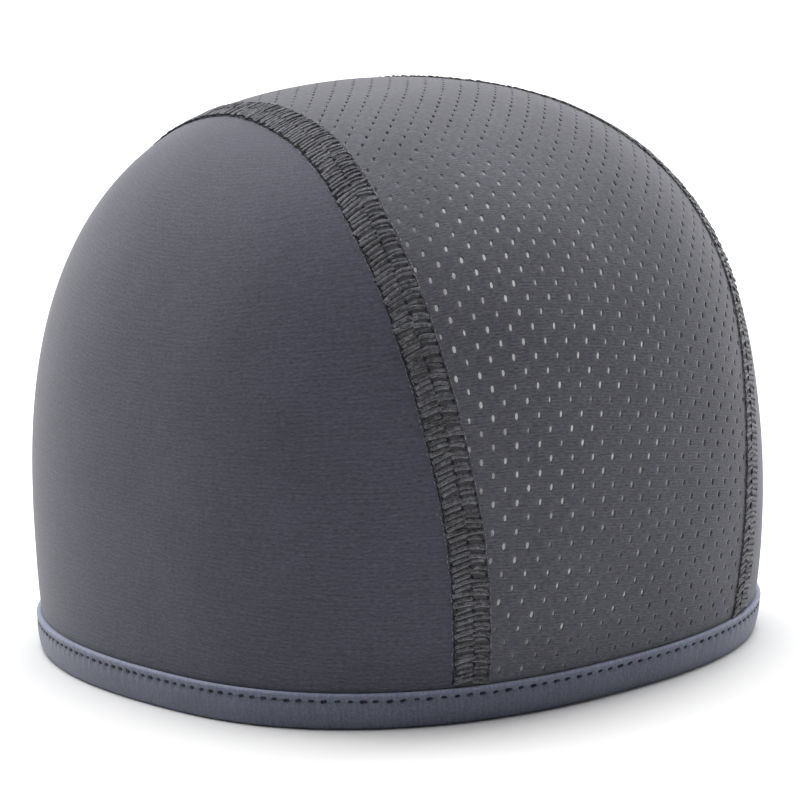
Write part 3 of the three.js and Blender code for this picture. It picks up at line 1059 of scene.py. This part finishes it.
def make_binding():
    count = BINDING_STEPS * HEM_STITCHES
    stitch = np.arange(count) / BINDING_STEPS
    azimuths = azimuth_at_stitch(stitch)[:, None]
    section = np.array(BINDING_SECTION)
    out, height, pucker = section[None, :, 0], section[None, :, 1], section[None, :, 2]
    _, outward = hem_directions(azimuths, height)
    drawn_in = BINDING_PUCKER * pucker * np.cos(2 * np.pi * stitch)[:, None]
    points = face_at_height(azimuths, height) + outward * (out - drawn_in)[..., None]
    faces = grid_faces(count, len(section), is_loop=True, is_tube=True)
    mesh = new_mesh("rim_binding", points.reshape(-1, 3), faces)
    fix_volume(mesh)
    mesh.materials.append(binding_knit)
    mesh.shade_smooth()
    around, up = np.meshgrid(stitch * BINDING_STITCH_PITCH, arc_lengths(section[:, :2]), indexing="ij")
    place = np.stack([up, around, 0 * around], axis=-1)
    set_attribute(mesh, "cloth_place", "FLOAT_VECTOR", "POINT", place)
    # Painted highlight: the outside of the fold is made paler towards its top edge, where it catches the
    # light.
    is_outside_fold = section[:, 0] > -1
    highlight = np.interp(section[:, 1], BINDING_HIGHLIGHT_HEIGHTS, BINDING_HIGHLIGHT) * is_outside_fold
    set_attribute(mesh, "painted_highlight", "FLOAT", "POINT", np.tile(highlight, count))
    return new_object("rim_binding_cloth", mesh)


def make_binding_stitches():
    wander = np.random.default_rng(3)
    azimuths = azimuth_at_stitch(np.arange(HEM_STITCHES) + wander.normal(0, 0.03, HEM_STITCHES))
    height = BINDING_HEIGHT - BINDING_STITCH_DROP + wander.normal(0, 0.07, HEM_STITCHES)
    along, outward = hem_directions(azimuths, height)
    points = face_at_height(azimuths, height) + outward * BINDING_STITCH_STAND
    slant = BINDING_STITCH_SLANT + wander.normal(0, 0.09, HEM_STITCHES)
    rise = np.stack([0 * azimuths, 0 * azimuths, slant], axis=-1)
    mesh = new_mesh("binding_stitches", points, [])
    set_attribute(mesh, "lay", "FLOAT_VECTOR", "POINT", along + rise)
    set_attribute(mesh, "up", "FLOAT_VECTOR", "POINT", outward)
    piece = new_object("binding_stitches", mesh)
    sizes = sizes_of(length=1.2, thickness=0.85, rise=0.15, flatness=0.7)
    add_modifier(piece, stitches_on_points, **sizes, Thread=navy_thread)
    return made_plain(piece)


stitches_on_points = stitch_tree()

center_panel = make_center_panel()
side_panels = {}
seam_bands = {}
seam_stitches = {}
for side in ("right", "left"):
    side_panels[side] = make_side_panel(f"side_panel_{side}", side == "right")
    seam_bands[side] = make_seam_band(f"seam_{side}", side == "right")
    seam_stitches[side] = make_seam_stitches(f"seam_{side}", side == "right")
rim_binding = make_binding()
binding_stitches = make_binding_stitches()

pieces = [center_panel, rim_binding, binding_stitches]
pieces += [*side_panels.values(), *seam_bands.values(), *seam_stitches.values()]
for piece in pieces:
    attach(piece, "root")
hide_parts("center_panel")
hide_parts("rim_binding")
for side in ("right", "left"):
    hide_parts(f"side_panel_{side}")
    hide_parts(f"seam_{side}")


# The white paper under the cap.
def make_floor():
    mesh = bpy.data.meshes.new("floor")
    half = 1.2
    corners = [(-half, -half, 0), (half, -half, 0), (half, half, 0), (-half, half, 0)]
    mesh.from_pydata(corners, [], [(0, 1, 2, 3)])
    material, _ = new_material("floor_paper", (0.93, 0.93, 0.93), 0.9, 0, 0.5, 0.1)
    mesh.materials.append(material)
    floor = new_object("floor", mesh)


def add_light(name, kind, place, aim, energy, size):
    light = bpy.data.lights.new(name, kind)
    light.energy = energy
    if kind == "AREA":
        light.shape = "RECTANGLE"
        light.size, light.size_y = size
    else:
        light.shadow_soft_size = size
    lamp = new_object(name, light)
    turn = (Vector(aim) - Vector(place)).to_track_quat("-Z", "Y")
    lamp.matrix_world = Matrix.Translation(place) @ turn.to_matrix().to_4x4()
    return lamp


# The world is plain white behind the floor, and lights the cap only with a faint glow.
def make_world():
    world = bpy.data.worlds.new("studio")
    world.use_nodes = True
    background = world.node_tree.nodes["Background"]
    background.inputs["Color"].default_value = (1, 1, 1, 1)
    seen = add_node(world.node_tree, "ShaderNodeLightPath").outputs["Is Camera Ray"]
    glow = math_node(world.node_tree, "MULTIPLY_ADD", seen, 1.0, 0.03)
    world.node_tree.links.new(glow, background.inputs["Strength"])
    bpy.context.scene.world = world


# Large lamps round the cap and above it, and small soft ones inside it that show through the eyelets.
def make_lamps():
    aim = (0, 0, 0.06)
    add_light("low_right_back", "AREA", (1.849, 0.188, 0.5), aim, 9.3, (1.2, 0.9))
    add_light("high_right_back", "AREA", (1.216, 0.124, 1.515), aim, 17, (1.2, 1.2))
    add_light("low_back", "AREA", (1.174, 1.44, 0.5), aim, 8.2, (1.2, 0.9))
    add_light("low_left_back", "AREA", (-0.188, 1.849, 0.5), aim, 11.4, (1.2, 0.9))
    add_light("high_left_back", "AREA", (-0.124, 1.215, 1.515), aim, 15.5, (1.2, 1.2))
    add_light("low_right", "AREA", (1.44, -1.174, 0.5), aim, 3.4, (1.2, 0.9))
    add_light("top", "AREA", (0, 0.001, 1.9), aim, 34, (1.4, 1.4))
    for name, place, energy, radius in (
        ("inside_middle", (0.02, -0.0396, 0.076), 0.0053, 0.04),
        ("inside_low", (0.02, -0.0396, 0.044), 0.01, 0.04),
        ("inside_high", (0.02, -0.0296, 0.092), 0.0072, 0.0382),
        ("inside_brow", (0.04, -0.0296, 0.028), 0.0032, 0.0245),
        ("inside_front", (0.04, -0.0496, 0.068), 0.0024, 0.0244),
        ("inside_left", (0.03, -0.0196, 0.1), 0.0024, 0.0194),
        ("inside_forehead", (0.03, -0.0596, 0.092), 0.0013, 0.0181),
        ("inside_crown", (0.02, 0.0104, 0.1), 0.0032, 0.0316),
    ):
        lamp = add_light(name, "POINT", place, (0, 0, 0), energy, radius)
        lamp.visible_camera = True


def make_camera():
    target = Vector((-1.946, -9.674, 61.21)) * MM
    distance = 1.5018
    azimuth = math.radians(-39.184)
    elevation = math.radians(11.917)
    roll = math.radians(-3.347)
    level = math.cos(elevation)
    back = Vector((math.sin(azimuth) * level, -math.cos(azimuth) * level, math.sin(elevation)))
    right = Vector((math.cos(azimuth), math.sin(azimuth), 0))
    up = back.cross(right)
    across = right * math.cos(roll) + up * math.sin(roll)
    upright = up * math.cos(roll) - right * math.sin(roll)
    data = bpy.data.cameras.new("camera")
    data.lens = 277.38
    data.sensor_width = 36
    camera = new_object("camera", data)
    turn = Matrix((across, upright, back)).transposed().to_4x4()
    camera.matrix_world = Matrix.Translation(target + back * distance) @ turn
    bpy.context.scene.camera = camera


make_floor()
make_world()
make_lamps()
make_camera()
bpy.context.scene.view_settings.view_transform = "Standard"
